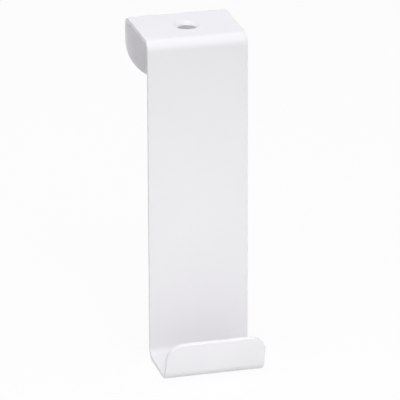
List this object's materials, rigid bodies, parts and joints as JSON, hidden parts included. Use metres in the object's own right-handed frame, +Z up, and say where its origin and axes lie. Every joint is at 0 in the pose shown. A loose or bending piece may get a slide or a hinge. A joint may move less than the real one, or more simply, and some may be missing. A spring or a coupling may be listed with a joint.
{
  "type": "door hook",
  "caption": "Over-the-door hook: a folded white steel strip that hangs on the door's top edge, with a plain plate, an upturned lip at the foot and a countersunk screw hole in the top.",
  "frame": {"origin": "on the screw hole's axis, at the underside of the top, where the door's top edge bears", "axes": "+Z up, -Y into the room, +Y to the back of the door, +X right as seen from the room"},
  "size_m": [0.05, 0.0799, 0.1646],
  "materials": {
    "powder_coat": "white semi-gloss powder coat"
  },
  "bodies": {
    "root": {"hook_strap": "powder_coat"}
  },
  "joints": []
}
